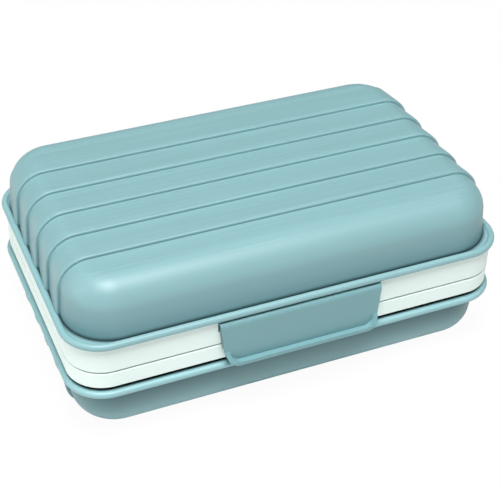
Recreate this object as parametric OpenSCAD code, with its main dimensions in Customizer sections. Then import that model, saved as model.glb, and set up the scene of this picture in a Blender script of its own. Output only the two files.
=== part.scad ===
// Travel soap box shaped like a small suitcase. Two ribbed shells are closed by white bands,
// hinged along the rear and held shut by a latch in the middle of the front.
// The origin is the centre of the footprint, on the surface that the box stands on.
// X runs along the length, Y points to the hinge side and Z points up.

/* [Outline] */
// Length over the rims
rim_l = 120; // [112:1:130]
// Width over the rims
rim_w = 76.8; // [72:0.2:84]
// Corner radius of the rims, seen from above
rim_r = 10.8; // [10:0.1:13]
// Thickness of the rims
rim_t = 1.3; // [1:0.1:1.5]
// Radius of the bead along the edge of each rim
bead_r = 0.95; // [0.8:0.05:1]

/* [Shells] */
// Depth of each shell beyond its rim, without the ribs
shell_h = 15; // [13:0.5:20]
// Wall thickness of the shells
shell_wall = 1.6; // [1.2:0.1:2]
// Distance from the rims' edge to the foot of each shell
foot_inset = 2; // [1.9:0.1:2.6]
// Corner radius of each shell's foot, seen from above
foot_r = 12.3; // [11.5:0.1:14]
// Radius of the edge between a shell's sides and its flat
edge_r = 7.5; // [5:0.5:8.5]

/* [Ribs] */
// Number of ribs across each shell
rib_count = 5; // [3:1:5]
// Distance from one rib's step to the next
rib_pitch = 9.9; // [8:0.1:10]
// Height of a rib at its step
rib_h = 0.85; // [0.55:0.05:1]
// Rounding of a rib's crest
rib_round = 0.45; // [0.2:0.05:0.5]
// Width of the flat along a rib's crest
rib_land = 1; // [0.6:0.1:2]
// Place of the front rib's step, measured from the middle
rib_front = -22.4; // [-24:0.2:-20]

/* [Bands] */
// Height of the band below the parting line
low_band_h = 4.9; // [4.7:0.1:8]
// Height of the band above the parting line
high_band_h = 7.5; // [6:0.1:10]
// How far the bands stand back from the rims
band_inset = 1; // [0.9:0.05:1.2]
// Wall thickness of the lower band
low_wall = 2; // [1.8:0.1:2.2]
// Wall thickness of the upper band, which the latch's pocket is cut into
high_wall = 2.4; // [2.3:0.1:2.8]
// Chamfer along the bands' outer edges
band_soft = 0.3; // [0.1:0.05:0.4]
// Height of the shadow groove between the lower rim and its band
groove_h = 1.05; // [1:0.05:1.5]
// Depth of the shadow groove behind the band
groove_d = 1.6; // [1.2:0.1:1.8]
// Open gap between the two bands when the box is shut
parting_gap = 0.2; // [0.15:0.05:0.3]
// Thickness of the bands' floors
floor_t = 1.2; // [1:0.1:1.5]
// Depth of the collars that locate the bands in the shells
collar_h = 3; // [2:0.5:5]
// Thickness of the collars
collar_t = 1.2; // [1:0.1:1.5]
// Clearance between a collar and its shell
collar_gap = 0.15; // [0.1:0.05:0.2]

/* [Seal] */
// Width of the seal ring
seal_w = 1.6; // [1.4:0.1:1.8]
// Height of the seal ring
seal_h = 2; // [1.6:0.1:2.2]
// Clearance on each side of the seal ring in its channel
seal_gap = 0.1; // [0.05:0.05:0.15]
// Width of the tongue that presses on the seal
tongue_w = 0.9; // [0.7:0.1:1]
// Clearance between the tongue and the seal
tongue_gap = 0.3; // [0.25:0.05:0.4]
// Thickness of the wall on the inner side of the seal's channel
channel_wall = 1.1; // [0.9:0.1:1.2]

/* [Tray] */
// Depth of the drain tray below the shelf that carries it
tray_h = 8; // [6:0.5:9]
// Wall thickness of the drain tray
tray_wall = 1.2; // [1:0.1:1.5]
// Clearance around the drain tray
tray_gap = 0.4; // [0.3:0.05:0.5]
// Width of the shelf that carries the drain tray
shelf_w = 1.6; // [1.4:0.1:2]
// Width of one drain slot
slot_w = 3; // [2:0.2:4]
// Length of one drain slot
slot_l = 22; // [16:1:24]
// Drain slots along the tray
slot_columns = 3; // [1:1:3]
// Drain slots across the tray
slot_rows = 5; // [3:1:5]
// Distance between neighbouring slots across the tray
slot_pitch = 9; // [7:0.5:10]
// Height of the ridges that carry the soap
ridge_h = 1.5; // [1:0.1:2.5]
// Width of the ridges that carry the soap
ridge_w = 1.6; // [1.2:0.1:2]

/* [Hinge] */
// Radius of the hinge knuckles
hinge_r = 1.5; // [1.3:0.05:1.6]
// Radius of the hinge pins
hinge_pin_r = 0.75; // [0.6:0.05:0.8]
// Distance of each hinge from the middle of the box
hinge_x = 30; // [22:1:36]
// Width of the middle knuckle, which belongs to the lid
lid_knuckle_w = 6; // [4:0.5:8]
// Width of each outer knuckle, which belongs to the base
base_knuckle_w = 4; // [3:0.5:5]
// Side clearance between neighbouring knuckles, also beside the latch's own
knuckle_gap = 0.2; // [0.15:0.05:0.3]
// Radial clearance of the pins in the pieces that turn on them
running_gap = 0.06; // [0.04:0.01:0.09]
// Radial clearance of the pins in the pieces that hold them
seat_gap = 0.02; // [0.01:0.01:0.03]

/* [Latch] */
// Width of the latch at its top
latch_w = 44; // [36:0.5:50]
// Width that the latch loses on each side from its top to its lip
latch_taper = 0.9; // [0.2:0.1:1.2]
// Thickness of the latch plate
latch_t = 1.1; // [0.9:0.05:1.15]
// Lean of the latch plate, whose lower edge stands further out
latch_splay = 3.5; // [1:0.5:4]
// How far the top of the latch plate stands proud of the rims
latch_proud = 0.45; // [0.4:0.05:0.6]
// Corner radius of the latch at its lip
latch_r = 4; // [3:0.5:5]
// Radius of the barrel that the latch turns on
barrel_r = 1.4; // [1.3:0.05:1.45]
// Radius of the latch pin
latch_pin_r = 0.5; // [0.4:0.05:0.55]
// Clearance between the barrel and what surrounds it
barrel_gap = 0.3; // [0.25:0.05:0.35]
// How far the finger lip stands out from the latch plate
lip_out = 1.5; // [1.2:0.05:2]
// Thickness of the finger lip
lip_t = 1.2; // [1:0.1:1.6]
// Rounding of the finger lip's edges
lip_round = 0.3; // [0.2:0.05:0.4]
// Height over which the finger lip runs out up the latch's sides
lip_rise = 3; // [2:0.5:4]
// Thickness of the hook that catches under the lower band
hook_t = 0.6; // [0.5:0.05:0.65]
// How far the hook reaches under the lower band
hook_grip = 0.75; // [0.5:0.05:0.8]
// Length of the hook
hook_l = 30; // [16:1:32]
// Clearance between the hook and the lower band's edge
hook_gap = 0.2; // [0.15:0.05:0.25]
// Radius of the two knuckles behind the latch that hold its pin
ear_r = 0.9; // [0.85:0.05:0.95]
// Width of those knuckles
ear_w = 3; // [2.5:0.5:4]
// Distance of those knuckles from the middle
ear_x = 12; // [10:0.5:14]
// Thickness of the web that carries each of those knuckles
ear_web = 0.65; // [0.5:0.05:0.7]
// Radial clearance between those knuckles and the latch, which turns round them
ear_gap = 0.09; // [0.07:0.01:0.1]

/* [Hidden] */
$fn = 72;

teal = [0.62, 0.81, 0.82];
white = [0.93, 1, 0.97];
clear_white = [0.88, 0.93, 0.93];
steel = [0.75, 0.76, 0.77];

// How far joined forms run into each other, and how far cutting forms run past what they cut
embed = 0.5;
over = 1;

// How far a rounded edge stands past the flat side that it runs into, so that the two cross
blend = 0.01;

// How far a rib's crest dips below the shell at its rear
dip = 0.06;

// Draft of the shells' sides, whose sine and cosine are both short decimals
draft = asin(237 / 3125);

// Half sizes of the outlines
rim_x = rim_l / 2;
rim_y = rim_w / 2;
foot_x = rim_x - foot_inset;
foot_y = rim_y - foot_inset;

// Centre of a shell's rounded edge, above its rim's parting side and inward from its foot
edge_z = rim_t + shell_h - edge_r;
edge_x = round(100 * (foot_x - arc_in(edge_r))) / 100;

// Heights above the ground
base_seat_z = rib_h + shell_h + rim_t;
low_band_z = base_seat_z + groove_h;
channel_z = low_band_z + floor_t;
seal_z = channel_z + seal_h;
parting_z = low_band_z + low_band_h;
lid_seat_z = parting_z + high_band_h;

// Offsets inward from the rims' outline, across the bands
channel_out = band_inset + low_wall;
channel_in = channel_out + seal_w + 2 * seal_gap;
channel_back = channel_in + channel_wall;
shelf_in = channel_back + shelf_w;
seal_mid = (channel_out + channel_in) / 2;
tongue_out = seal_mid - tongue_w / 2;
tongue_in = seal_mid + tongue_w / 2;
high_in = band_inset + high_wall;

// The latch, as offsets outward from the rims' front and heights above the ground
barrel_out = latch_proud - barrel_r;
barrel_z = lid_seat_z - barrel_gap - barrel_r;
latch_y = -rim_y - barrel_out;
plate_back = barrel_r - latch_t;
hook_z = low_band_z - hook_gap - hook_t;
hook_tip = band_inset + hook_grip;
plate_h = (barrel_z - hook_z + plate_back * sin(latch_splay)) / cos(latch_splay);
hook_root = barrel_out + plate_back * cos(latch_splay) + plate_h * sin(latch_splay);
arc_x = latch_w / 2 - latch_taper - latch_r;
arc_h = plate_h - latch_r;
side_lean = atan(latch_taper / arc_h);
top_x = arc_x + latch_r / cos(side_lean) + arc_h * tan(side_lean);
pocket_d = barrel_r + barrel_gap - barrel_out;

// The hinge reaches as far behind the rims as the finger lip reaches in front of them
reach = barrel_out + lip_round + (barrel_r + lip_out - lip_round) * cos(latch_splay)
    + (plate_h - lip_round) * sin(latch_splay);
hinge_y = rim_y + reach - hinge_r;
hinge_half = lid_knuckle_w / 2 + knuckle_gap + base_knuckle_w;
web_tip = hinge_r * sin(45);

// Corner radius of a form that follows the rims' outline further in
function corner_r(inset) = max(rim_r - inset, 1);

// Height and inward distance from the foot at which a shell's side runs into its rounded edge
function touch_z(arc_r) = edge_z + (arc_r - blend) * sin(draft);
function touch_in(arc_r) = (touch_z(arc_r) - rim_t) * tan(draft);

// Inward distance from the foot to the centre of a shell's rounded edge
function arc_in(arc_r) = touch_in(arc_r) + (arc_r - blend) * cos(draft);

// Sweeps a section round a rounded rectangle; the section's X points outward from the outline
module around(hx, hy, r) {
    for (turn = [0, 180])
        rotate([0, 0, turn])
            translate([hx, 0, 0])
                rotate([90, 0, 0])
                    linear_extrude(2 * (hy - r), center = true)
                        children();
    for (turn = [90, 270])
        rotate([0, 0, turn])
            translate([hy, 0, 0])
                rotate([90, 0, 0])
                    linear_extrude(2 * (hx - r), center = true)
                        children();
    for (corner = [0:3])
        translate([(corner % 3 == 0 ? 1 : -1) * (hx - r), (corner < 2 ? 1 : -1) * (hy - r), 0])
            rotate([0, 0, 90 * corner])
                rotate_extrude(angle = 90)
                    intersection() {
                        translate([r, 0])
                            children();
                        translate([0, -rim_l])
                            square(2 * rim_l);
                    }
}

// The same sweep, with its middle filled between two heights
module filled(hx, hy, r, low, high) {
    around(hx, hy, r)
        children();
    translate([r - hx, r - hy, low])
        cube([2 * (hx - r), 2 * (hy - r), high - low]);
}

// A flat slab that follows the rims' outline, set inward from it
module slab(inset, low, high) {
    r = corner_r(inset);
    filled(rim_x - inset, rim_y - inset, r, low, high)
        translate([-r, low])
            square([r, high - low]);
}

// The domed form of a shell, above its rim's parting side, set inward by wall
module dome(wall, low) {
    back = round(100 * wall / cos(draft)) / 100;
    r = foot_r - back;
    arc_r = edge_r - wall;
    centre_x = -arc_in(arc_r);
    top = edge_z + arc_r;
    filled(foot_x - back, foot_y - back, r, low, top) {
        polygon([
            [-r, low], [(rim_t - low) * tan(draft), low], [-touch_in(arc_r), touch_z(arc_r)],
            [centre_x, edge_z], [centre_x, top], [-r, top]
        ]);
        translate([centre_x, edge_z])
            intersection() {
                circle(arc_r);
                translate([0, -over])
                    square(arc_r + 2 * over);
            }
    }
}

// The ribs' section; X is the height above the shell and Y runs towards the rear
module rib_section() {
    crest = rib_h - rib_round;
    for (i = [0 : rib_count - 1])
        translate([0, rib_front + i * rib_pitch]) {
            polygon([
                [-embed, 0], [crest, 0], [crest, rib_round], [rib_h, rib_round],
                [rib_h, rib_round + rib_land], [-dip, rib_pitch], [-embed, rib_pitch]
            ]);
            translate([crest, rib_round])
                intersection() {
                    circle(rib_round);
                    translate([0, -rib_round])
                        square(rib_round);
                }
        }
}

// Ribs that run over the flat of a shell and down both of its ends
module ribs() {
    translate([0, 0, edge_z + edge_r])
        rotate([0, -90, 0])
            linear_extrude(2 * edge_x, center = true)
                rib_section();
    for (end = [0, 1])
        mirror([end, 0, 0])
            translate([edge_x, 0, edge_z])
                rotate([-90, 0, 0]) {
                    difference() {
                        rotate([0, 0, -90])
                            rotate_extrude(angle = 90)
                                translate([edge_r, 0])
                                    rib_section();
                        rotate([0, 0, -draft])
                            translate([0, 0, -rim_y])
                                cube([rim_x, rim_x, rim_w]);
                    }
                    rotate([90, 0, -draft])
                        mirror([0, 0, 1])
                            linear_extrude((edge_z - rim_t / 2) / cos(draft))
                                translate([edge_r, 0])
                                    rib_section();
                }
}

// One moulded shell with its beaded rim, above the parting side of the rim
module cover() {
    difference() {
        union() {
            filled(rim_x, rim_y, rim_r, 0, rim_t) {
                translate([-rim_r, 0])
                    square([rim_r - bead_r, rim_t]);
                translate([-bead_r, bead_r])
                    circle(bead_r);
            }
            dome(0, 0);
            ribs();
        }
        dome(shell_wall, -over);
    }
}

// The collar that locates a band in its shell, above the rim's parting side
module collar() {
    wall = shell_wall / cos(draft) + collar_gap;
    low = -(wall - (rim_t + embed) * tan(draft));
    high = -(wall - (rim_t - collar_h) * tan(draft));
    around(foot_x, foot_y, foot_r)
        polygon([
            [low, -embed], [high, collar_h], [high - collar_t, collar_h], [low - collar_t, -embed]
        ]);
}

// One hinge knuckle with its web to the lower band, or to the upper band when it points up
module knuckle(width, up) {
    root = -(reach - hinge_r + band_inset + embed);
    rotate([90, 0, 90])
        linear_extrude(width, center = true)
            mirror([0, up ? 1 : 0]) {
                circle(hinge_r);
                polygon([
                    [root, -parting_gap / 2], [0, -parting_gap / 2], [web_tip, -web_tip],
                    [root, root - 2 * web_tip]
                ]);
            }
}

module hinge_bores(gap) {
    for (side = [-1, 1])
        translate([side * hinge_x, hinge_y, parting_z])
            rotate([0, 90, 0])
                cylinder(r = hinge_pin_r + gap, h = 2 * (hinge_half + over), center = true);
}

module latch_bore(gap) {
    translate([0, latch_y, barrel_z])
        rotate([0, 90, 0])
            cylinder(r = latch_pin_r + gap, h = 2 * (top_x + barrel_gap), center = true);
}

module base_shell() {
    color(teal)
        translate([0, 0, base_seat_z])
            mirror([0, 0, 1])
                cover();
}

module base_frame() {
    neck = band_inset + groove_d;
    rim_top = parting_z - parting_gap / 2;
    inner_top = seal_z - parting_gap;
    color(white)
        difference() {
            union() {
                around(rim_x, rim_y, rim_r)
                    polygon([
                        [-neck, base_seat_z], [-neck, low_band_z],
                        [-band_inset - band_soft, low_band_z],
                        [-band_inset, low_band_z + band_soft], [-band_inset, rim_top - band_soft],
                        [-band_inset - band_soft, rim_top], [-channel_out, rim_top],
                        [-channel_out, channel_z], [-channel_in, channel_z],
                        [-channel_in, inner_top], [-channel_back, inner_top],
                        [-channel_back, low_band_z], [-shelf_in, low_band_z],
                        [-shelf_in, base_seat_z]
                    ]);
                translate([0, 0, base_seat_z])
                    mirror([0, 0, 1])
                        collar();
                for (side = [-1, 1], end = [-1, 1])
                    translate([
                        side * hinge_x + end * (hinge_half - base_knuckle_w / 2), hinge_y,
                        parting_z
                    ])
                        knuckle(base_knuckle_w, false);
            }
            hinge_bores(seat_gap);
        }
}

module seal_ring() {
    color(clear_white)
        translate([0, 0, channel_z])
            around(rim_x - seal_mid, rim_y - seal_mid, rim_r - seal_mid) {
                translate([-seal_w / 2, 0])
                    square([seal_w, seal_h - seal_w / 2]);
                translate([0, seal_h - seal_w / 2])
                    circle(seal_w / 2);
            }
}

module drain_tray() {
    rim_in = channel_back + tray_gap;
    wall_in = shelf_in + tray_gap;
    rim_top = low_band_z + tray_wall;
    bottom = low_band_z - tray_h;
    column = slot_l + ridge_w + slot_w;
    ridge_top = tray_wall / 2 + ridge_h - ridge_w / 2;
    color(clear_white)
        difference() {
            union() {
                difference() {
                    union() {
                        slab(rim_in, low_band_z, rim_top);
                        slab(wall_in, bottom, rim_top);
                    }
                    slab(wall_in + tray_wall, bottom + tray_wall, rim_top + over);
                }
                for (i = [0 : slot_rows])
                    translate([0, (i - slot_rows / 2) * slot_pitch, bottom + tray_wall / 2])
                        rotate([90, 0, 90])
                            linear_extrude(slot_columns * column, center = true) {
                                translate([-ridge_w / 2, 0])
                                    square([ridge_w, ridge_top]);
                                translate([0, ridge_top])
                                    circle(ridge_w / 2);
                            }
            }
            for (i = [0 : slot_columns - 1], j = [0 : slot_rows - 1])
                translate([
                    (i - (slot_columns - 1) / 2) * column, (j - (slot_rows - 1) / 2) * slot_pitch,
                    bottom - over
                ]) {
                    translate([(slot_w - slot_l) / 2, -slot_w / 2, 0])
                        cube([slot_l - slot_w, slot_w, tray_wall + 2 * over]);
                    for (end = [-1, 1])
                        translate([end * (slot_l - slot_w) / 2, 0, 0])
                            cylinder(r = slot_w / 2, h = tray_wall + 2 * over);
                }
        }
}

module lid_shell() {
    color(teal)
        translate([0, 0, lid_seat_z])
            cover();
}

// A knuckle that holds the latch pin, on a web low enough for the barrel to turn over it
module latch_ear() {
    rotate([90, 0, 90])
        linear_extrude(ear_w, center = true) {
            circle(ear_r);
            translate([0, -ear_r])
                square([barrel_r + barrel_gap + embed, ear_web]);
        }
}

module lid_frame() {
    low = parting_z + parting_gap / 2;
    tongue_low = seal_z + tongue_gap;
    color(white)
        difference() {
            union() {
                difference() {
                    around(rim_x, rim_y, rim_r)
                        polygon([
                            [-band_inset - band_soft, low], [-band_inset, low + band_soft],
                            [-band_inset, lid_seat_z], [-shelf_in, lid_seat_z],
                            [-shelf_in, lid_seat_z - floor_t], [-high_in, lid_seat_z - floor_t],
                            [-high_in, low + floor_t], [-tongue_in, low + floor_t],
                            [-tongue_in, tongue_low], [-tongue_out, tongue_low],
                            [-tongue_out, low]
                        ]);
                    translate([
                        -top_x - barrel_gap, -rim_y - over, barrel_z - barrel_r - barrel_gap
                    ])
                        cube([2 * (top_x + barrel_gap), pocket_d + over, high_band_h]);
                }
                translate([0, 0, lid_seat_z])
                    collar();
                for (side = [-1, 1]) {
                    translate([side * hinge_x, hinge_y, parting_z])
                        knuckle(lid_knuckle_w, true);
                    translate([side * ear_x, latch_y, barrel_z])
                        latch_ear();
                }
            }
            hinge_bores(running_gap);
            latch_bore(seat_gap);
        }
}

// The latch's outline, whose corners at the lip are rounded and whose top runs past the pin
module latch_outline(inset) {
    r = latch_r - inset;
    join_r = r - blend;
    high = barrel_r + over;
    high_x = top_x - inset / cos(side_lean) + high * tan(side_lean);
    polygon([
        [-high_x, high], [high_x, high],
        [arc_x + join_r * cos(side_lean), -arc_h - join_r * sin(side_lean)], [arc_x, -arc_h],
        [arc_x, -arc_h - join_r], [-arc_x, -arc_h - join_r], [-arc_x, -arc_h],
        [-arc_x - join_r * cos(side_lean), -arc_h - join_r * sin(side_lean)]
    ]);
    for (end = [-1, 1])
        translate([end * arc_x, -arc_h])
            circle(r);
}

// The latch's side section: barrel, plate and lip; X points up and Y points outward
module latch_section() {
    lip_top = barrel_r + lip_out;
    difference() {
        circle(barrel_r);
        translate([-2 * barrel_r, plate_back])
            square(2 * barrel_r);
    }
    polygon([
        [0, plate_back], [0, barrel_r], [-plate_h + lip_t + lip_rise, barrel_r],
        [-plate_h + lip_t, lip_top], [-plate_h + lip_round, lip_top],
        [-plate_h + lip_round, lip_top - lip_round], [-plate_h, lip_top - lip_round],
        [-plate_h, plate_back]
    ]);
    translate([-plate_h + lip_round, lip_top - lip_round])
        intersection() {
            circle(lip_round);
            translate([-lip_round, 0])
                square(lip_round);
        }
}

module latch() {
    color(teal)
        difference() {
            union() {
                translate([0, latch_y, barrel_z])
                    rotate([90 - latch_splay, 0, 0])
                        difference() {
                            intersection() {
                                rotate([90, 0, 90])
                                    linear_extrude(latch_w + 2 * over, center = true)
                                        latch_section();
                                translate([0, 0, -barrel_r - over])
                                    linear_extrude(2 * barrel_r + lip_out + 2 * over)
                                        latch_outline(0);
                            }
                            translate([0, 0, barrel_r])
                                linear_extrude(lip_out + over)
                                    latch_outline(lip_t);
                        }
                translate([-hook_l / 2, -rim_y - hook_root - embed, hook_z])
                    cube([hook_l, hook_root + embed + hook_tip, hook_t]);
            }
            for (side = [-1, 1])
                translate([side * ear_x, latch_y, barrel_z])
                    rotate([90, 0, 90])
                        linear_extrude(ear_w + 2 * knuckle_gap, center = true) {
                            circle(ear_r + ear_gap);
                            translate([0, -2 * barrel_r])
                                square(4 * barrel_r);
                        }
            latch_bore(running_gap);
        }
}

module latch_pin() {
    color(steel)
        translate([0, latch_y, barrel_z])
            rotate([0, 90, 0])
                cylinder(r = latch_pin_r, h = 2 * top_x, center = true);
}

module hinge_pin(side) {
    color(steel)
        translate([side * hinge_x, hinge_y, parting_z])
            rotate([0, 90, 0])
                cylinder(r = hinge_pin_r, h = 2 * hinge_half, center = true);
}

base_shell();
base_frame();
seal_ring();
drain_tray();
lid_shell();
lid_frame();
latch();
latch_pin();
hinge_pin(-1);  // hinge_pin_left
hinge_pin(1);  // hinge_pin_right
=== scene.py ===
"""Dresses the travel soap box: plastics, silicone seal, steel pins, pale stage and camera."""

import math

import bpy
from mathutils import Matrix, Vector

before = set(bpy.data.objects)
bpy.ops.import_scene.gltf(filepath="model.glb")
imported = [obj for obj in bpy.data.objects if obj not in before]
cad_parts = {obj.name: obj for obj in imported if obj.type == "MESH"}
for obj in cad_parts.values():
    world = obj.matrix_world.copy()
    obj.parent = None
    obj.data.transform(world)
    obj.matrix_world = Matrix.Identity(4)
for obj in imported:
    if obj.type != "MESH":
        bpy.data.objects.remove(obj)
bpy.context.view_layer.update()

bl_info = {
    "name": "Travel Soap Box",
    "version": (1, 0, 0),
    "blender": (4, 5, 0),
    "location": "3D View > Sidebar > Soap Box",
    "description": "Finishes the pieces of a suitcase-shaped travel soap box and sets its stage",
    "category": "Object",
}

# Places on the solids that the finishes follow, in metres, with the box shut.
# An outline is a rounded rectangle seen from above: half its length and width, and its corner.
RIM_OUTLINE = (0.06, 0.0384, 0.0108)
FOOT_OUTLINE = (0.058, 0.0364, 0.0123)
LID_FOOT = 0.0319
BASE_FOOT = 0.01585
PARTING = 0.02388
LATCH_CORNER_X = 0.0171
LATCH_CORNER_Z = 0.02137
LATCH_LEAN = 0.119

# Limits of the masks, in metres: an edge, and half the width of its soft border
# The groove limits bound painted shade in the groove between the lower band and the base's rim.
GROOVE_FRONT = (0.0017, 0.0003)
GROOVE_BACK = (0.003, 0.00005)
GROOVE_LOW = (0.01705, 0.00005)
GROOVE_HIGH = (0.01817, 0.00005)
# The band-skin limit bounds painted shade on the bands' inner faces.
BAND_SKIN = (0.0013, 0.0001)
# The latch limits bound a painted shadow on the bands beside the latch's sides.
LATCH_EDGE_IN = (0.00355, 0.0001)
LATCH_EDGE_OUT = (0.00422, 0.00008)
LATCH_FRONT = (-0.03725, 0.00008)
LATCH_HIGH = (0.0305, 0.00008)
LATCH_LOW = (0.0, 0.00008)
# The crease and foot reaches bound painted shade on the shells.
CREASE_REACH = (0.0005, 0.0005)
FOOT_REACH = (0.005, 0.005)
SIDE_START = (0.0, 0.0002)
# The bead inset bounds a painted highlight along the rim's bead.
BEAD_INSET = (0.001, 0.0004)
FLATS_START = (0.022, 0.0006)

# Tones that multiply a colour
MOTTLE_TONES = (0.975, 1.025)
STREAK_TONES = (0.85, 1.12)
# The next tone is painted shade: the bands' inner faces greyer than their outer faces.
INSIDE_SHADE_TONE = 0.62
# The next tone is painted shade: the colour taken near-black in the gaps.
GAP_SHADE_TONE = 0.05
# The next share is the strength of the painted shadow beside the latch.
LATCH_SHADOW_SHARE = 0.45
CLOUDY_TONE = 0.94
# The lid's and the base's crease and foot tones are painted shade on the shells, and their bead
# tones a painted highlight.
LID_PAINTED_LIGHT = {"Crease Shade": (0.08, 0.1, 0.11), "Foot Shade": (0.56, 0.69, 0.74), "Bead Highlight": (1.06,) * 3}
BASE_PAINTED_LIGHT = {"Crease Shade": (0.5, 0.55, 0.55), "Foot Shade": (0.05, 0.2, 0.22), "Bead Highlight": (1.22,) * 3}

# Surface of the finishes
GLOSS_SPREAD = 0.04
GRAIN_STRENGTH = 0.35
LINE_STRENGTH = 0.5
LINE_STRETCH = 0.012
STEEL_LINE_SCALE = 3000.0
STEEL_GLOSS = (0.22, 0.42)
SEAL_GRAIN_SCALE = 1800.0
SEAL_MOTTLE_SCALE = 160.0
SEAL_GLOSS = (0.5, 0.65)

# Stage, in metres
MIDDLE = (0.0, 0.0, 0.025)
KEY_PLACE = (-0.1, -0.25, 0.94)
KEY_SIZE = 0.4
FILL_PLACE = (-0.85, 0.05, 0.3)
FILL_SIZE = 0.5
FLOOR_TONE = 0.82
FLOOR_WHITE_SHARE = 0.96
FLOOR_DROP = 0.0001
CAMERA_PLACE = (-0.10785, -0.25623, 0.23153)
CAMERA_TARGET = (0.00178, 0.0, 0.01956)
CAMERA_ROLL = math.radians(1.033)
SENSOR_WIDTH = 36

# Sockets of a colour Mix node, whose names repeat for each kind of data
MIX_UNDER = 6
MIX_OVER = 7
MIX_RESULT = 2

# Layout in the node editor
NODES_A_ROW = 8
NODE_STEP = (220, 320)


def linear(red, green, blue):
    """A screen colour of 0 to 255 a channel as the linear values that shaders use."""
    channels = []
    for value in (red, green, blue):
        share = value / 255
        channels.append(share / 12.92 if share <= 0.04045 else ((share + 0.055) / 1.055) ** 2.4)
    return tuple(channels)


def scaled(colour, tone):
    """A colour made darker or paler, with no channel past 1."""
    return tuple(min(1.0, value * tone) for value in colour)


# ---- node helpers


def add_node(tree, kind, label="", **settings):
    """A node of the given kind, with its settings and a label, next in the tree's rows."""
    row, column = divmod(len(tree.nodes), NODES_A_ROW)
    node = tree.nodes.new(kind)
    node.location = (column * NODE_STEP[0], -row * NODE_STEP[1])
    node.label = label
    for name, value in settings.items():
        setattr(node, name, value)
    return node


def feed(tree, socket, value):
    """Links a socket to another one, or sets it to a number; with None the socket is left as it
    is.
    """
    if isinstance(value, (int, float)):
        socket.default_value = value
    elif value is not None:
        tree.links.new(value, socket)


def calculated(tree, label, operation, first, second=None, third=None):
    """The result of one Math node, fed with numbers or sockets."""
    node = add_node(tree, "ShaderNodeMath", label, operation=operation)
    for socket, value in zip(node.inputs, (first, second, third)):
        feed(tree, socket, value)
    return node.outputs["Value"]


def spread(tree, label, source, limits):
    """Maps a 0 to 1 value onto a low and a high limit."""
    node = add_node(tree, "ShaderNodeMapRange", label)
    node.inputs["To Min"].default_value, node.inputs["To Max"].default_value = limits
    tree.links.new(source, node.inputs["Value"])
    return node.outputs["Result"]


def limit_mask(tree, label, value, limit, above):
    """1 where a value is above (or below) a limit's edge, with a soft border."""
    edge, softness = limit
    if not above:
        softness = -softness
    node = add_node(tree, "ShaderNodeMapRange", label)
    node.inputs["From Min"].default_value = edge - softness
    node.inputs["From Max"].default_value = edge + softness
    tree.links.new(value, node.inputs["Value"])
    return node.outputs["Result"]


def length_of(tree, label, across, along, corner_only=False):
    """The length of two values taken together; with corner_only, values under 0 count as 0."""
    pair = add_node(tree, "ShaderNodeCombineXYZ", label)
    tree.links.new(across, pair.inputs["X"])
    tree.links.new(along, pair.inputs["Y"])
    vector = pair.outputs["Vector"]
    if corner_only:
        corner = add_node(tree, "ShaderNodeVectorMath", "in the corner", operation="MAXIMUM")
        tree.links.new(vector, corner.inputs[0])
        vector = corner.outputs["Vector"]
    reach = add_node(tree, "ShaderNodeVectorMath", "length", operation="LENGTH")
    tree.links.new(vector, reach.inputs[0])
    return reach.outputs["Value"]


def inset_from(tree, x, y, outline):
    """How far inside an outline a point lies, seen from above."""
    half_length, half_width, corner = outline
    side = calculated(tree, "either side", "ABSOLUTE", x)
    depth = calculated(tree, "front or rear", "ABSOLUTE", y)
    across = calculated(tree, "across", "SUBTRACT", side, half_length - corner)
    along = calculated(tree, "along", "SUBTRACT", depth, half_width - corner)
    reach = length_of(tree, "past the corner's centre", across, along, corner_only=True)
    return calculated(tree, "inset", "SUBTRACT", corner, reach)


def toned(tree, label, share, under, over, blend="MIX"):
    """A colour laid over another by a mask; each is a socket or three values."""
    node = add_node(tree, "ShaderNodeMix", label, data_type="RGBA", blend_type=blend)
    tree.links.new(share, node.inputs[0])
    for socket, colour in ((node.inputs[MIX_UNDER], under), (node.inputs[MIX_OVER], over)):
        if isinstance(colour, tuple):
            socket.default_value = (*colour, 1.0)
        else:
            tree.links.new(colour, socket)
    return node.outputs[MIX_RESULT]


# ---- shared effects


def new_group(name, inputs, outputs):
    """An empty shader group with named float inputs and outputs; an input is (name, default)."""
    group = bpy.data.node_groups.new(name, "ShaderNodeTree")
    group.interface.new_socket("Vector", in_out="INPUT", socket_type="NodeSocketVector")
    for label, default in inputs:
        socket = group.interface.new_socket(label, in_out="INPUT", socket_type="NodeSocketFloat")
        socket.default_value = default
    for label in outputs:
        group.interface.new_socket(label, in_out="OUTPUT", socket_type="NodeSocketFloat")
    entry = add_node(group, "NodeGroupInput")
    leave = add_node(group, "NodeGroupOutput")
    return group, entry, leave


def use_group(tree, group, vector, **values):
    """Places a shader group, feeds it the coordinates and sets its inputs."""
    node = add_node(tree, "ShaderNodeGroup", group.name)
    node.node_tree = group
    tree.links.new(vector, node.inputs["Vector"])
    for name, value in values.items():
        node.inputs[name.replace("_", " ")].default_value = value
    return node


def place_of(group, entry):
    """The three coordinates that come into a group."""
    split = add_node(group, "ShaderNodeSeparateXYZ", "place")
    group.links.new(entry.outputs["Vector"], split.inputs["Vector"])
    return tuple(split.outputs[axis] for axis in "XYZ")


def noise(group, label, vector, scale, detail, roughness):
    """A noise pattern whose scale comes from the group's input."""
    node = add_node(group, "ShaderNodeTexNoise", label)
    node.inputs["Detail"].default_value = detail
    node.inputs["Roughness"].default_value = roughness
    group.links.new(vector, node.inputs["Vector"])
    group.links.new(scale, node.inputs["Scale"])
    return node.outputs["Fac"]


def moulded_skin_group():
    """Fine spark-eroded grain with slow mottling, as a mould leaves it on plastic."""
    inputs = (("Grain Scale", 2600.0), ("Mottle Scale", 45.0))
    group, entry, leave = new_group("moulded_skin", inputs, ("Grain", "Mottle"))
    vector = entry.outputs["Vector"]
    for name, detail, roughness in (("Grain", 3.0, 0.6), ("Mottle", 4.0, 0.55)):
        pattern = noise(group, name, vector, entry.outputs[name + " Scale"], detail, roughness)
        group.links.new(pattern, leave.inputs[name])
    return group


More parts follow.
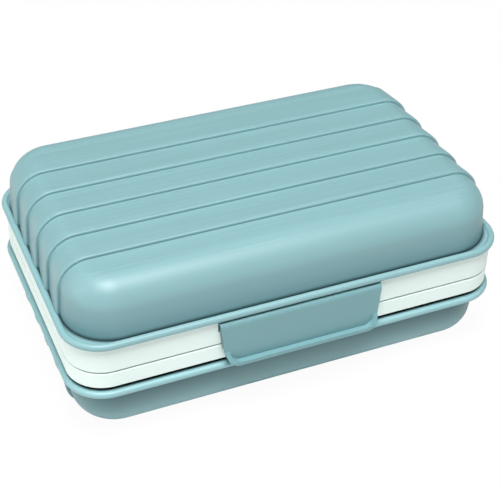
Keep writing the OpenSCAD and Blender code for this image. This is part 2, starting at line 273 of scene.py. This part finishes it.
def brushed_lines_group():
    """Fine lines along X, and a mask of the flats on top of the lid and under the base."""
    inputs = (("Line Scale", 1400.0),)
    group, entry, leave = new_group("brushed_lines", inputs, ("Lines", "Flat Mask"))
    stretch = add_node(group, "ShaderNodeMapping", "stretch along X")
    stretch.inputs["Scale"].default_value = (LINE_STRETCH, 1.0, 1.0)
    group.links.new(entry.outputs["Vector"], stretch.inputs["Vector"])
    lines = noise(group, "lines", stretch.outputs["Vector"], entry.outputs["Line Scale"], 2.0, 0.7)
    group.links.new(lines, leave.inputs["Lines"])

    height = place_of(group, entry)[2]
    offset = calculated(group, "from the parting line", "SUBTRACT", height, PARTING)
    far = calculated(group, "up or down", "ABSOLUTE", offset)
    flats = limit_mask(group, "flats", far, FLATS_START, above=True)
    group.links.new(flats, leave.inputs["Flat Mask"])
    return group


def gap_shade_group():
    """Masks of painted shade: in the groove over the base's rim, as a painted shadow beside the
    latch's side edges, and on the bands' inner faces.
    """
    group, entry, leave = new_group("gap_shade", (), ("Groove Shade", "Latch Shadow", "Inside"))
    x, y, z = place_of(group, entry)
    inset = inset_from(group, x, y, RIM_OUTLINE)
    # Painted shade in the groove under the lower band.
    groove = limit_mask(group, "behind the edge", inset, GROOVE_FRONT, above=True)
    for label, value, edge, above in (
        ("outside the neck", inset, GROOVE_BACK, False),
        ("over the rim", z, GROOVE_LOW, True),
        ("under the band", z, GROOVE_HIGH, False),
    ):
        limit = limit_mask(group, label, value, edge, above)
        groove = calculated(group, "groove", "MULTIPLY", groove, limit)
    group.links.new(groove, leave.inputs["Groove Shade"])
    # Painted shade on the bands' inner faces.
    inside = limit_mask(group, "inside the skin", inset, BAND_SKIN, above=True)
    group.links.new(inside, leave.inputs["Inside"])

    # Painted shadow on the bands beside the latch's side edges, above its lower corners.
    side = calculated(group, "either side", "ABSOLUTE", x)
    rise = calculated(group, "above the corners", "SUBTRACT", z, LATCH_CORNER_Z)
    only_above = calculated(group, "above only", "MAXIMUM", rise, 0.0)
    upright = calculated(group, "upright", "MULTIPLY_ADD", only_above, -LATCH_LEAN, side)
    across = calculated(group, "across", "SUBTRACT", upright, LATCH_CORNER_X)
    down = calculated(group, "below the corners", "MULTIPLY", rise, -1.0)
    reach = length_of(group, "past the corner's centre", across, down, corner_only=True)
    edge = limit_mask(group, "behind the latch's edge", reach, LATCH_EDGE_IN, above=True)
    for label, value, limit_at in (
        ("beside the latch", reach, LATCH_EDGE_OUT),
        ("front only", y, LATCH_FRONT),
        ("below the lid's rim", z, LATCH_HIGH),
        ("above the corners", down, LATCH_LOW),
    ):
        limit = limit_mask(group, label, value, limit_at, above=False)
        edge = calculated(group, "edge", "MULTIPLY", edge, limit)
    faint = calculated(group, "fainter than the groove", "MULTIPLY", edge, LATCH_SHADOW_SHARE)
    group.links.new(faint, leave.inputs["Latch Shadow"])
    return group


def foot_shade_group():
    """Masks of painted shade in the crease and low on a shell's side, and of a painted highlight
    on the bead along its rim.
    """
    group, entry, leave = new_group("foot_shade", (), ("Crease Shade", "Foot Shade", "Bead Highlight"))
    x, y, z = place_of(group, entry)
    upper = calculated(group, "over the lid's rim", "SUBTRACT", z, LID_FOOT)
    lower = calculated(group, "under the base's rim", "SUBTRACT", BASE_FOOT, z)
    away = calculated(group, "from the rim", "MAXIMUM", upper, lower)
    height = calculated(group, "on the side", "MAXIMUM", away, 0.0)

    inset = inset_from(group, x, y, FOOT_OUTLINE)
    outward = calculated(group, "outward", "MULTIPLY", inset, -1.0)
    floor = calculated(group, "on the rim", "MAXIMUM", outward, 0.0)
    # Painted shade in the crease where a shell's side meets its rim.
    apart = length_of(group, "from the crease", floor, height)
    crease = limit_mask(group, "crease", apart, CREASE_REACH, above=False)
    group.links.new(crease, leave.inputs["Crease Shade"])

    # Painted shade low on a shell's side.
    near = limit_mask(group, "low on the side", height, FOOT_REACH, above=False)
    side = limit_mask(group, "the side", inset, SIDE_START, above=True)
    foot = calculated(group, "foot", "MULTIPLY", near, side)
    group.links.new(foot, leave.inputs["Foot Shade"])

    # Painted highlight along the rim's bead.
    rim_inset = inset_from(group, x, y, RIM_OUTLINE)
    bead = limit_mask(group, "bead", rim_inset, BEAD_INSET, above=False)
    group.links.new(bead, leave.inputs["Bead Highlight"])
    return group


groups = {}


# ---- finishes


def new_material(name):
    """A material with an empty tree, its Principled shader and its Object coordinates."""
    material = bpy.data.materials.new(name)
    material.use_nodes = True
    tree = material.node_tree
    tree.nodes.clear()
    output = add_node(tree, "ShaderNodeOutputMaterial")
    shader = add_node(tree, "ShaderNodeBsdfPrincipled", "surface")
    tree.links.new(shader.outputs["BSDF"], output.inputs["Surface"])
    place = add_node(tree, "ShaderNodeTexCoord")
    return material, tree, shader, place.outputs["Object"]


def bumped(tree, label, strength, depth, height, normal=None):
    """A bump of a given depth, on top of another one where given."""
    node = add_node(tree, "ShaderNodeBump", label)
    node.inputs["Strength"].default_value = strength
    node.inputs["Distance"].default_value = depth
    tree.links.new(height, node.inputs["Height"])
    feed(tree, node.inputs["Normal"], normal)
    return node.outputs["Normal"]


def moulded_plastic(name, colour, look, lined=False, painted_light=None, gaps=(), shaded_inside=False):
    """Moulded plastic: mottled colour, uneven gloss and fine grain.

    lined adds the fine lines of the ribs' flats; a shell's tones paint shade into its crease and
    foot and a highlight onto its rim's bead;
    gaps names the masks of painted shade that go near-black; and the inside switch paints shade on
    the bands' inner faces, greyer than their outer faces.
    """
    material, tree, shader, where = new_material(name)
    skin = use_group(tree, groups["skin"], where)
    low, high = (scaled(colour, tone) for tone in MOTTLE_TONES)
    seen = toned(tree, "mottled colour", skin.outputs["Mottle"], low, high)
    lines = None
    if lined:
        brush = use_group(tree, groups["lines"], where)
        flats = brush.outputs["Flat Mask"]
        streak = spread(tree, "streak tone", brush.outputs["Lines"], STREAK_TONES)
        seen = toned(tree, "streaks", flats, seen, streak, "MULTIPLY")
        height = calculated(tree, "flats only", "MULTIPLY", brush.outputs["Lines"], flats)
        lines = bumped(tree, "lines", LINE_STRENGTH, look.line_depth, height)
    # Painted shade in a shell's crease and low on its side, and a painted highlight on its rim's
    # bead.
    if painted_light:
        near = use_group(tree, groups["foot"], where)
        for mask, tone in painted_light.items():
            seen = toned(tree, mask, near.outputs[mask], seen, tone, "MULTIPLY")
    # Painted shade: the gap masks take the colour near-black.
    if gaps:
        gap = use_group(tree, groups["gap"], where)
        shade = gap.outputs[gaps[0]]
        for mask in gaps[1:]:
            shade = calculated(tree, "shade", "MAXIMUM", shade, gap.outputs[mask])
        # Painted shade: the bands' inner faces greyer than their outer faces.
        if shaded_inside:
            inner = scaled(colour, INSIDE_SHADE_TONE)
            seen = toned(tree, "inside", gap.outputs["Inside"], seen, inner)
        seen = toned(tree, "painted gap shade", shade, seen, scaled(colour, GAP_SHADE_TONE))
    tree.links.new(seen, shader.inputs["Base Color"])

    limits = (look.gloss - GLOSS_SPREAD, look.gloss + GLOSS_SPREAD)
    rough = spread(tree, "gloss", skin.outputs["Mottle"], limits)
    tree.links.new(rough, shader.inputs["Roughness"])
    grain = skin.outputs["Grain"]
    surface = bumped(tree, "grain", GRAIN_STRENGTH, look.grain_depth, grain, lines)
    tree.links.new(surface, shader.inputs["Normal"])
    return material


def drawn_steel(name, colour):
    """Plain drawn wire with fine lines along its length."""
    material, tree, shader, where = new_material(name)
    brush = use_group(tree, groups["lines"], where, Line_Scale=STEEL_LINE_SCALE)
    rough = spread(tree, "drawn gloss", brush.outputs["Lines"], STEEL_GLOSS)
    tree.links.new(rough, shader.inputs["Roughness"])
    shader.inputs["Base Color"].default_value = (*colour, 1.0)
    shader.inputs["Metallic"].default_value = 1.0
    return material


def milky_silicone(name, colour):
    """Matt, slightly cloudy silicone rubber."""
    material, tree, shader, where = new_material(name)
    scales = {"Grain_Scale": SEAL_GRAIN_SCALE, "Mottle_Scale": SEAL_MOTTLE_SCALE}
    skin = use_group(tree, groups["skin"], where, **scales)
    low, high = scaled(colour, CLOUDY_TONE), tuple(colour)
    tone = toned(tree, "cloudy colour", skin.outputs["Mottle"], low, high)
    tree.links.new(tone, shader.inputs["Base Color"])
    rough = spread(tree, "matt", skin.outputs["Grain"], SEAL_GLOSS)
    tree.links.new(rough, shader.inputs["Roughness"])
    return material


def dress(node_name, material):
    """Puts a material on every slot of a CAD node."""
    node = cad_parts.get(node_name)
    if node is None:
        raise RuntimeError("the frame has no node " + node_name)
    if not node.data.materials:
        node.data.materials.append(material)
    for slot in node.material_slots:
        slot.material = material


# ---- sizes and colours a user would change


class SoapBoxFinish(bpy.types.PropertyGroup):
    """Colours and surface of the pieces."""

    teal: bpy.props.FloatVectorProperty(
        name="Teal",
        description="Colour of the two shells",
        subtype="COLOR",
        size=3,
        min=0.0,
        max=1.0,
        default=linear(130, 170, 174),
    )
    # The latch's colour is the shells' teal made darker and more saturated, as painted shade on
    # its upright plate.
    latch: bpy.props.FloatVectorProperty(
        name="Latch",
        description="Colour of the latch, a little deeper than the shells",
        subtype="COLOR",
        size=3,
        min=0.0,
        max=1.0,
        default=linear(116, 160, 165),
    )
    white: bpy.props.FloatVectorProperty(
        name="White",
        description="Colour of the two bands",
        subtype="COLOR",
        size=3,
        min=0.0,
        max=1.0,
        default=linear(238, 255, 248),
    )
    tray: bpy.props.FloatVectorProperty(
        name="Tray",
        description="Colour of the drain tray",
        subtype="COLOR",
        size=3,
        min=0.0,
        max=1.0,
        default=linear(184, 199, 197),
    )
    silicone: bpy.props.FloatVectorProperty(
        name="Seal",
        description="Colour of the seal ring",
        subtype="COLOR",
        size=3,
        min=0.0,
        max=1.0,
        default=linear(190, 202, 200),
    )
    steel: bpy.props.FloatVectorProperty(
        name="Pins",
        description="Colour of the hinge and latch pins",
        subtype="COLOR",
        size=3,
        min=0.0,
        max=1.0,
        default=linear(196, 198, 200),
    )
    gloss: bpy.props.FloatProperty(
        name="Plastic Roughness",
        description="Roughness of the moulded plastic",
        min=0.05,
        max=1.0,
        default=0.44,
        subtype="FACTOR",
    )
    grain_depth: bpy.props.FloatProperty(
        name="Grain Depth",
        description="Depth of the fine grain on the plastic",
        min=0.0,
        max=0.0005,
        default=0.00002,
        unit="LENGTH",
    )
    line_depth: bpy.props.FloatProperty(
        name="Line Depth",
        description="Depth of the fine lines along the ribs",
        min=0.0,
        max=0.0005,
        default=0.00004,
        unit="LENGTH",
    )


class SoapBoxStage(bpy.types.PropertyGroup):
    """Light, floor and camera."""

    key_power: bpy.props.FloatProperty(
        name="Key Light",
        description="Power of the large light above the box",
        min=0.0,
        default=13.2,
        unit="POWER",
    )
    fill_power: bpy.props.FloatProperty(
        name="Fill Light",
        description="Power of the light at the left",
        min=0.0,
        default=1.7,
        unit="POWER",
    )
    sky: bpy.props.FloatProperty(
        name="Sky",
        description="Strength of the even light from all round",
        min=0.0,
        default=0.05,
    )
    floor_size: bpy.props.FloatProperty(
        name="Floor Size",
        description="Side of the square floor",
        min=0.5,
        default=6.0,
        unit="LENGTH",
        subtype="DISTANCE",
    )
    view_angle: bpy.props.FloatProperty(
        name="View Angle",
        description="Angle of view of the camera",
        min=0.1,
        max=1.5,
        default=math.radians(22.45),
        unit="ROTATION",
        subtype="ANGLE",
    )


# ---- steps


class SOAPBOX_OT_groups(bpy.types.Operator):
    """Builds the shader groups that the finishes share"""

    bl_idname = "soapbox.groups"
    bl_label = "Build Shared Effects"

    def execute(self, context):
        groups["skin"] = moulded_skin_group()
        groups["lines"] = brushed_lines_group()
        groups["gap"] = gap_shade_group()
        groups["foot"] = foot_shade_group()
        return {"FINISHED"}


class SOAPBOX_OT_shells(bpy.types.Operator):
    """Finishes the two ribbed shells"""

    bl_idname = "soapbox.shells"
    bl_label = "Finish Shells"

    def execute(self, context):
        look = context.scene.soapbox_finish
        for node_name, name, painted_light in (
            ("lid_shell", "teal_lid", LID_PAINTED_LIGHT),
            ("base_shell", "teal_base", BASE_PAINTED_LIGHT),
        ):
            material = moulded_plastic(
                name, look.teal, look, lined=True, painted_light=painted_light, gaps=("Groove Shade",)
            )
            dress(node_name, material)
        return {"FINISHED"}


class SOAPBOX_OT_bands(bpy.types.Operator):
    """Finishes the two white bands"""

    bl_idname = "soapbox.bands"
    bl_label = "Finish Bands"

    def execute(self, context):
        look = context.scene.soapbox_finish
        material = moulded_plastic(
            "white_band", look.white, look, gaps=("Groove Shade", "Latch Shadow"), shaded_inside=True
        )
        dress("lid_frame", material)
        dress("base_frame", material)
        return {"FINISHED"}


class SOAPBOX_OT_latch(bpy.types.Operator):
    """Finishes the latch"""

    bl_idname = "soapbox.latch"
    bl_label = "Finish Latch"

    def execute(self, context):
        look = context.scene.soapbox_finish
        dress("latch", moulded_plastic("teal_latch", look.latch, look))
        return {"FINISHED"}


class SOAPBOX_OT_inside(bpy.types.Operator):
    """Finishes the drain tray and the seal ring"""

    bl_idname = "soapbox.inside"
    bl_label = "Finish Tray and Seal"

    def execute(self, context):
        look = context.scene.soapbox_finish
        dress("drain_tray", moulded_plastic("tray_plastic", look.tray, look))
        dress("seal_ring", milky_silicone("seal_silicone", look.silicone))
        return {"FINISHED"}


class SOAPBOX_OT_pins(bpy.types.Operator):
    """Finishes the steel pins of the hinges and the latch"""

    bl_idname = "soapbox.pins"
    bl_label = "Finish Pins"

    def execute(self, context):
        material = drawn_steel("pin_steel", context.scene.soapbox_finish.steel)
        for node_name in ("hinge_pin_left", "hinge_pin_right", "latch_pin"):
            dress(node_name, material)
        return {"FINISHED"}


def soft_light(name, power, size, place):
    """A square soft light that looks at the middle of the box."""
    data = bpy.data.lights.new(name, "AREA")
    data.energy = power
    data.size = size
    lamp = bpy.data.objects.new(name, data)
    lamp.location = place
    lamp.rotation_euler = (Vector(MIDDLE) - Vector(place)).to_track_quat("-Z", "Y").to_euler()
    bpy.context.scene.collection.objects.link(lamp)


def pale_floor(size):
    """A floor that shows white to the camera, less the box's shadow, and bounces pale light."""
    bpy.ops.object.select_all(action="DESELECT")
    bpy.ops.mesh.primitive_plane_add(size=size, location=(0, 0, -FLOOR_DROP))
    floor = bpy.context.object
    floor.name = "floor"
    bpy.ops.object.transform_apply(location=True, rotation=True, scale=True)
    material = bpy.data.materials.new("pale_floor")
    material.use_nodes = True
    tree = material.node_tree
    tree.nodes.clear()
    output = add_node(tree, "ShaderNodeOutputMaterial")
    matt = add_node(tree, "ShaderNodeBsdfDiffuse", "matt floor")
    matt.inputs["Color"].default_value = (FLOOR_TONE, FLOOR_TONE, FLOOR_TONE, 1)
    glow = add_node(tree, "ShaderNodeEmission", "white to the camera")
    glow.inputs["Strength"].default_value = 1.0
    camera_ray = add_node(tree, "ShaderNodeLightPath").outputs["Is Camera Ray"]
    share = calculated(tree, "share of white", "MULTIPLY", camera_ray, FLOOR_WHITE_SHARE)
    mix = add_node(tree, "ShaderNodeMixShader")
    tree.links.new(share, mix.inputs[0])
    tree.links.new(matt.outputs["BSDF"], mix.inputs[1])
    tree.links.new(glow.outputs["Emission"], mix.inputs[2])
    tree.links.new(mix.outputs["Shader"], output.inputs["Surface"])
    floor.data.materials.append(material)


def even_sky(strength):
    """White behind the scene for the camera, and a faint even light on everything."""
    world = bpy.context.scene.world or bpy.data.worlds.new("studio")
    bpy.context.scene.world = world
    world.use_nodes = True
    tree = world.node_tree
    tree.nodes.clear()
    output = add_node(tree, "ShaderNodeOutputWorld")
    rays = add_node(tree, "ShaderNodeLightPath")
    mix = add_node(tree, "ShaderNodeMixShader")
    tree.links.new(rays.outputs["Is Camera Ray"], mix.inputs[0])
    for label, power, socket in (("light", strength, 1), ("white to the camera", 1.0, 2)):
        light = add_node(tree, "ShaderNodeBackground", label)
        light.inputs["Color"].default_value = (1, 1, 1, 1)
        light.inputs["Strength"].default_value = power
        tree.links.new(light.outputs["Background"], mix.inputs[socket])
    tree.links.new(mix.outputs["Shader"], output.inputs["Surface"])


def photo_camera(view_angle):
    """The camera at the photographed angle, from the front left and above."""
    place = Vector(CAMERA_PLACE)
    ahead = (Vector(CAMERA_TARGET) - place).normalized()
    right = ahead.cross(Vector((0, 0, 1))).normalized()
    upward = right.cross(ahead)
    turned_right = right * math.cos(CAMERA_ROLL) + upward * math.sin(CAMERA_ROLL)
    turned_up = upward * math.cos(CAMERA_ROLL) - right * math.sin(CAMERA_ROLL)
    data = bpy.data.cameras.new("camera")
    data.sensor_width = SENSOR_WIDTH
    data.angle = view_angle
    camera = bpy.data.objects.new("camera", data)
    axes = Matrix((turned_right, turned_up, -ahead)).transposed()
    camera.matrix_world = Matrix.Translation(place) @ axes.to_4x4()
    bpy.context.scene.collection.objects.link(camera)
    bpy.context.scene.camera = camera


class SOAPBOX_OT_stage(bpy.types.Operator):
    """Adds the floor, the lights and the camera"""

    bl_idname = "soapbox.stage"
    bl_label = "Set the Stage"

    def execute(self, context):
        stage = context.scene.soapbox_stage
        pale_floor(stage.floor_size)
        even_sky(stage.sky)
        soft_light("key", stage.key_power, KEY_SIZE, KEY_PLACE)
        soft_light("fill", stage.fill_power, FILL_SIZE, FILL_PLACE)
        photo_camera(stage.view_angle)
        context.scene.view_settings.view_transform = "Standard"
        return {"FINISHED"}


class SOAPBOX_PT_sidebar(bpy.types.Panel):
    """Lists the box's finishes, its stage and the steps that build them"""

    bl_label = "Travel Soap Box"
    bl_idname = "SOAPBOX_PT_sidebar"
    bl_space_type = "VIEW_3D"
    bl_region_type = "UI"
    bl_category = "Soap Box"

    def draw(self, context):
        layout = self.layout
        for values in (context.scene.soapbox_finish, context.scene.soapbox_stage):
            for name in values.__annotations__:
                layout.prop(values, name)
        for step in STEPS:
            layout.operator(step.bl_idname)


STEPS = (
    SOAPBOX_OT_groups,
    SOAPBOX_OT_shells,
    SOAPBOX_OT_bands,
    SOAPBOX_OT_latch,
    SOAPBOX_OT_inside,
    SOAPBOX_OT_pins,
    SOAPBOX_OT_stage,
)
CLASSES = (SoapBoxFinish, SoapBoxStage, *STEPS, SOAPBOX_PT_sidebar)


def register():
    for item in CLASSES:
        bpy.utils.register_class(item)
    bpy.types.Scene.soapbox_finish = bpy.props.PointerProperty(type=SoapBoxFinish)
    bpy.types.Scene.soapbox_stage = bpy.props.PointerProperty(type=SoapBoxStage)


def unregister():
    del bpy.types.Scene.soapbox_stage
    del bpy.types.Scene.soapbox_finish
    for item in reversed(CLASSES):
        bpy.utils.unregister_class(item)


def main():
    """Runs every step in order."""
    register()
    bpy.ops.soapbox.groups()
    bpy.ops.soapbox.shells()
    bpy.ops.soapbox.bands()
    bpy.ops.soapbox.latch()
    bpy.ops.soapbox.inside()
    bpy.ops.soapbox.pins()
    bpy.ops.soapbox.stage()


if __name__ == "__main__":
    main()
